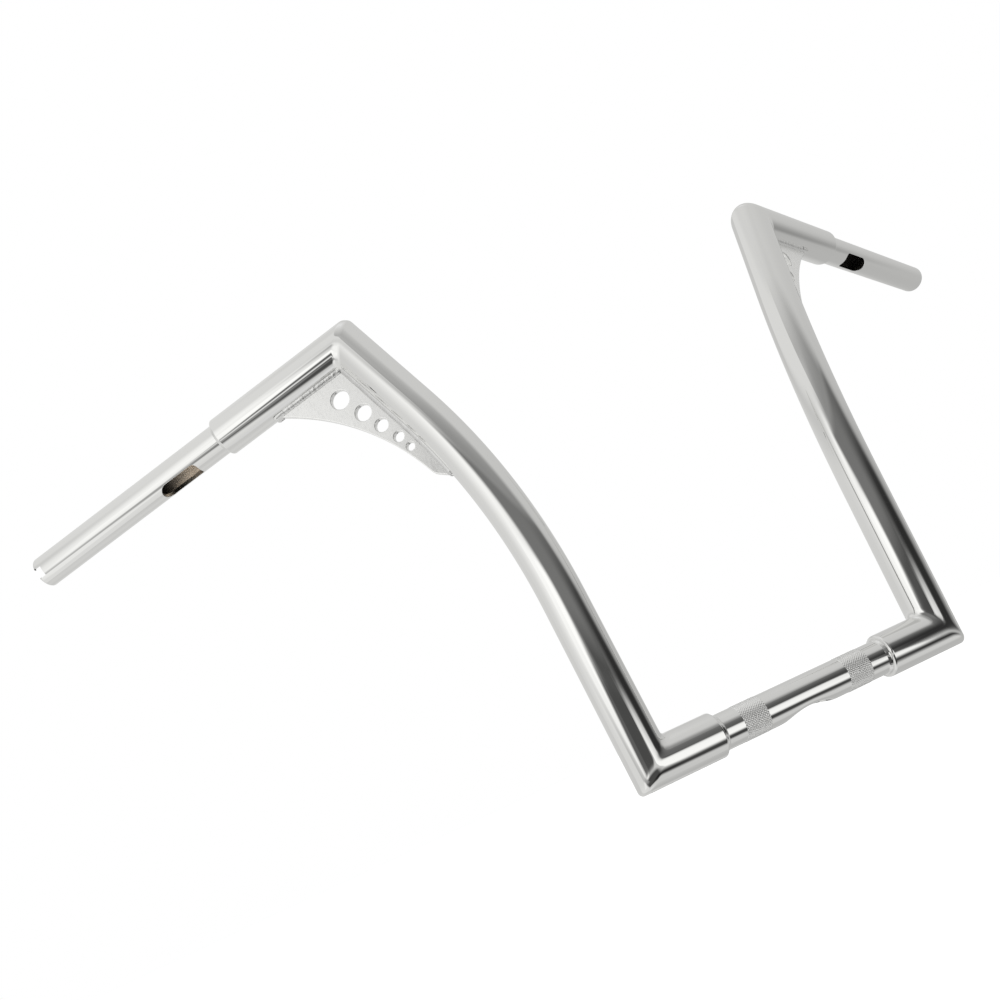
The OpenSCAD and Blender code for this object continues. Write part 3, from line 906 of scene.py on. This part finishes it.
# Plating over rough metal, which the polishing wheel didn't reach
weld_chrome, tree, bsdf = material("weld_chrome_rippled", (0.88, 0.88, 0.87), 0.3)
tree.links.new(spread(tree, noise(tree, 1500, 3.0), 0.26, 0.42), bsdf.inputs["Roughness"])
bump(tree, bsdf, noise(tree, 900, 4.0), 0.14, 0.0003)

knurl_chrome, tree, bsdf = material("knurl_chrome", BRIGHT, 0.25)
tree.links.new(spread(tree, noise(tree, 1800, 2.0), 0.2, 0.36), bsdf.inputs["Roughness"])
bump(tree, bsdf, noise(tree, 2500, 3.0), 0.3, 0.0001)

# The bores' colour holds painted shade and painted light: nearly black all through, as painted shade inside
# the tubes, and on the rider's right a pale, mottled patch from the slot inward, as painted light where
# light falls in through the slot.
PAINTED_LIGHT_FROM, PAINTED_LIGHT_TO = -0.345, -0.316  # along x, in metres
bare_steel, tree, bsdf = material("bare_steel_bore_painted_shade_and_light", (0.4, 0.35, 0.29), 0.6, 0.0)
x = axes(tree, "Object")[0]
# painted light: none on the tip's side, fading in toward the centre, on the rider's right only
painted_light_mask = calc(tree, "MULTIPLY", step(tree, x, PAINTED_LIGHT_FROM, PAINTED_LIGHT_TO), calc(tree, "LESS_THAN", x, 0.0))
mottle = spread(tree, noise(tree, 160, 3.0, (1, 1, 0.5)), 0.7, 1.0)
mix = tree.nodes.new("ShaderNodeMix")
mix.data_type = "RGBA"
factor, painted_shade_colour, light = mix.inputs[0], mix.inputs[6], mix.inputs[7]
# Nearly black: painted shade in the bores. Pale brown: painted light from the slot.
painted_shade_colour.default_value = (0.03, 0.027, 0.022, 1)
light.default_value = (0.72, 0.62, 0.5, 1)
tree.links.new(calc(tree, "MULTIPLY", painted_light_mask, mottle), factor)
tree.links.new(mix.outputs[2], bsdf.inputs["Base Color"])
tree.links.new(spread(tree, noise(tree, 500, 3.0), 0.5, 0.7), bsdf.inputs["Roughness"])
bump(tree, bsdf, noise(tree, 350, 2.0), 0.08, 0.0002)


# ---- Build the pieces, each in place of its CAD node ----
def put(shape, node, mats, mirror=False):
    obj = shape.build(node + "_finished", mats, mirror)
    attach(obj, "root")
    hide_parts(node)


tube_mats = [tube_chrome, bare_steel]
# weld's half width on the tubes, and the length over which its edge is blended
up_band, up_cut = mitre_band(UP, 2.4, 1.6)
low_band, low_cut = mitre_band(LOW, 1.2, 1.0)
upper_ring = ring_weld(grip_dir, grip_down, grip_rear, UPPER + STUB * grip_dir, UPPER_RING, 3)
lower_ring = ring_weld(in_dir, Z, Y, np.array([STUB_FACE, 0, 0]), LOWER_RING, 4)
parts = [
    ("riser", riser_tube(low_cut, up_cut), tube_mats, "tube_chrome"),
    ("upper_stub", stub_tube(UP, up_cut, STUB, STUB_EDGE), tube_mats, "tube_chrome"),
    ("lower_stub", stub_tube(LOW, low_cut, CORNER_X - STUB_FACE, STUB_EDGE), tube_mats, "tube_chrome"),
    ("gusset", gusset(), [gusset_chrome], "gusset_chrome"),
    ("upper_mitre_weld", up_band, [tube_chrome], "weld_chrome"),
    ("lower_mitre_weld", low_band, [tube_chrome], "weld_chrome"),
    ("riser_bead", beads(riser_bead), [bead_chrome], "weld_chrome"),
    ("stub_bead", stub_beads(), [weld_chrome], "weld_chrome"),
    ("upper_ring_weld", upper_ring, [ring_chrome], "weld_chrome"),
    ("lower_ring_weld", lower_ring, [ring_chrome], "weld_chrome"),
]
for node, shape, mats, slot in parts:
    put(shape, "left_" + node, mats)
    put(shape, "right_" + node, mats, True)
put(grip_tube(False), "left_grip_tube", tube_mats)
put(grip_tube(True), "right_grip_tube", tube_mats, True)
put(centre_tube(), "centre_tube", [clamp_chrome, bare_steel])
band = knurl_band()
for name, x in (("left", BAND_MID), ("right", -BAND_MID)):
    obj = band.build(name + "_knurl_band", [knurl_chrome])
    obj.data.transform(Matrix.Translation((x * MM, 0, 0)))
    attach(obj, "root")

# ---- Studio: pale floor well below, walls of soft panels and a white world ----
FLOOR_Z, FLOOR_HALF = -0.35, 60
floor_mesh = bpy.data.meshes.new("floor")
corners = [(x * FLOOR_HALF, y * FLOOR_HALF, FLOOR_Z) for x, y in ((-1, -1), (1, -1), (1, 1), (-1, 1))]
floor_mesh.from_pydata(corners, [], [(0, 1, 2, 3)])
floor = add_object("floor", floor_mesh)
pale_floor, tree, bsdf = material("pale_floor", (0.8, 0.8, 0.8), 0.9, 0.0)
bsdf.inputs["Emission Color"].default_value = (1, 1, 1, 1)
bsdf.inputs["Emission Strength"].default_value = 0.55
floor_mesh.materials.append(pale_floor)
floor.visible_glossy = False

MIRROR = 0.86  # what share of the light a mirror tube sends back
ROOM_R, ROOM_Y, ROOM_TOP = 1.0, 0.05, 4.0


def radiance(level):
    """Light that a mirror tube shows as this screen level, 0 to 255."""
    c = level / 255
    return (c / 12.92 if c <= 0.04045 else ((c + 0.055) / 1.055) ** 2.4) / MIRROR


def blend(t, under, over, mask):
    """under + (over - under) * mask; over is a number."""
    return calc(t, "ADD", under, calc(t, "MULTIPLY", calc(t, "SUBTRACT", over, under), mask))


# Base light of the walls: (elevation, level)
BASE = [(-90, 216), (-70, 196), (-40, 204), (-8, 198), (4, 203), (18, 207), (35, 193), (60, 200), (90, 223)]
# Panels and flags, later ones over earlier: azimuth of the middle, half width, softness, elevation of
# the middle, half height, softness, lean, level, share
PANELS = [
    (242.3, 12.5, 59.9, 23.2, 24.1, 7.5, -0.6, 275, 0.69),
    (242.9, 19.1, 4.9, -10.9, 26.7, 3.1, -0.29, 254, 1),
    (185.5, 45.4, 33.1, 34.2, 16.1, 37.8, 1.18, 124, 0.87),
    (175.2, 48.4, 18.2, 17.9, 13.1, 5.1, 0.83, 113, 1),
    (129.3, 25.7, 44.2, 3.1, 16.9, 36.5, 0.48, 16, 1),
    (116.4, 29.1, 8.5, -0.3, 10.9, 21.7, -0.18, 46, 1),
    (207.1, 29.8, 11.9, 0, 8.1, 10.7, -1.5, 17, 0.9),
    (151.8, 13.8, 2.1, -22.6, 24.5, 10.5, 0.47, 275, 0.6),
    (145.9, 27.2, 38.6, -40.6, 13.9, 15.9, -1.5, 5, 0.95),
    (269.4, 30.9, 6.2, -39.9, 42.8, 60, 0.02, 221, 0.76),
    (202, 38.2, 13.8, -38.7, 24.9, 10.6, 0.47, 5, 0.9),
    (247.4, 7.4, 8.9, -13.2, 11.6, 21.5, 1.16, 155, 0.94),
    (64.3, 33.8, 24.9, -21.4, 47.6, 23.7, 0.31, 166, 0.68),
    (292.8, 59.5, 1.6, 52.1, 13.8, 11.9, 0.96, 214, 1),
    # behind the bar, out of the photo's reflections: contrast for the back view
    (20, 10, 4, -13, 7, 4, 0, 50, 0.95),
]


def wall_light(t, azimuth, elevation, panels):
    """Light of the walls in a direction, in degrees."""
    light = radiance(BASE[0][1])
    for (e0, l0), (e1, l1) in zip(BASE[:-1], BASE[1:]):
        rise = step(t, elevation, e0, e1, 0.0, radiance(l1) - radiance(l0))
        light = calc(t, "ADD", light, rise)
    for a, wide, soft_a, e, tall, soft_e, lean, level, share in panels:
        shift = calc(t, "MULTIPLY_ADD", elevation, -lean, lean * e - a)
        off = calc(t, "ABSOLUTE", calc(t, "WRAP", calc(t, "ADD", azimuth, shift), 180.0, -180.0))
        across = step(t, off, wide - soft_a / 2, wide + soft_a / 2, share, 0.0)
        off = calc(t, "ABSOLUTE", calc(t, "SUBTRACT", elevation, e))
        up = step(t, off, tall - soft_e / 2, tall + soft_e / 2, 1.0, 0.0)
        light = blend(t, light, radiance(level), calc(t, "MULTIPLY", across, up))
    return light


# The walls of the studio, a round room whose light only the mirror surfaces see
segments, heights = 180, np.linspace(-ROOM_TOP, ROOM_TOP, 41)
points = [(ROOM_R * math.sin(a), ROOM_Y + ROOM_R * math.cos(a), h)
          for h in heights for a in circle(segments)]
quads = []
for low in range(0, segments * (len(heights) - 1), segments):
    for j in range(segments):
        k = (j + 1) % segments
        quads.append((low + j, low + k, low + segments + k, low + segments + j))
walls_mesh = bpy.data.meshes.new("studio_walls")
walls_mesh.from_pydata(points, [], quads)
walls = add_object("studio_walls", walls_mesh)
walls.visible_camera = walls.visible_diffuse = walls.visible_shadow = walls.visible_transmission = False
glow = bpy.data.materials.new("studio_wall_light")
glow.use_nodes = True
tree = glow.node_tree
tree.nodes.clear()
x, y, z = axes(tree, "Object")
azimuth = calc(tree, "DEGREES", calc(tree, "ARCTAN2", x, calc(tree, "SUBTRACT", y, ROOM_Y)))
elevation = calc(tree, "DEGREES", calc(tree, "ARCTANGENT", calc(tree, "DIVIDE", z, ROOM_R)))
shade = tree.nodes.new("ShaderNodeEmission")
shade.inputs["Color"].default_value = (1.0, 0.998, 0.985, 1)
tree.links.new(wall_light(tree, azimuth, elevation, PANELS), shade.inputs["Strength"])
end = tree.nodes.new("ShaderNodeOutputMaterial")
tree.links.new(shade.outputs[0], end.inputs[0])
walls_mesh.materials.append(glow)

# The world: white behind the bar, and the walls' base light for everything else
world = bpy.data.worlds.new("studio")
bpy.context.scene.world = world
world.use_nodes = True
tree = world.node_tree
tree.nodes.clear()
elevation = calc(tree, "DEGREES", calc(tree, "ARCSINE", axes(tree, "Generated")[2]))
base_light = wall_light(tree, elevation, elevation, [])
seen = tree.nodes.new("ShaderNodeLightPath").outputs["Is Camera Ray"]
shade = tree.nodes.new("ShaderNodeBackground")
tree.links.new(blend(tree, base_light, 1.0, seen), shade.inputs["Strength"])
shade.inputs["Color"].default_value = (1, 1, 1, 1)
end = tree.nodes.new("ShaderNodeOutputWorld")
tree.links.new(shade.outputs[0], end.inputs[0])

# A soft light from the left, which only dull surfaces see: the walls light the chrome
LAMP_SIZE, LAMP_WATTS = 0.7, 14
LAMP_AT, LAMP_AIM = (-1.25, -0.95, 0.1), (-0.3, 0.1, 0.3)
lamp_data = bpy.data.lights.new("soft_light", "AREA")
lamp_data.shape, lamp_data.size, lamp_data.energy = "DISK", LAMP_SIZE, LAMP_WATTS
lamp = add_object("soft_light", lamp_data)
lamp.location = LAMP_AT
lamp.rotation_euler = (Vector(LAMP_AIM) - lamp.location).to_track_quat("-Z", "Y").to_euler()
lamp.visible_camera = lamp.visible_glossy = False

# ---- Camera, solved from the outlines in the photo together with the bar ----
FOCAL = 1129.7  # in thousandths of the picture's width
CAMERA_AT = (-400.95, -726.19, 19.08)
CAMERA_RIGHT, CAMERA_DOWN = (0.88779, -0.211, -0.40902), (-0.32438, 0.34359, -0.88132)
CAMERA_FORWARD = (0.3265, 0.91511, 0.23659)
cam = add_object("camera", bpy.data.cameras.new("camera"))
cam.data.sensor_width = 36.0
cam.data.lens = FOCAL / 1000 * cam.data.sensor_width
cam.data.clip_start, cam.data.clip_end = 0.01, 200
m = np.eye(4)
m[:3, 0], m[:3, 1], m[:3, 2] = CAMERA_RIGHT, -np.array(CAMERA_DOWN), -np.array(CAMERA_FORWARD)
m[:3, 3] = np.array(CAMERA_AT) * MM
cam.matrix_world = Matrix(m.tolist())
bpy.context.scene.camera = cam
bpy.context.scene.view_settings.view_transform = "Standard"
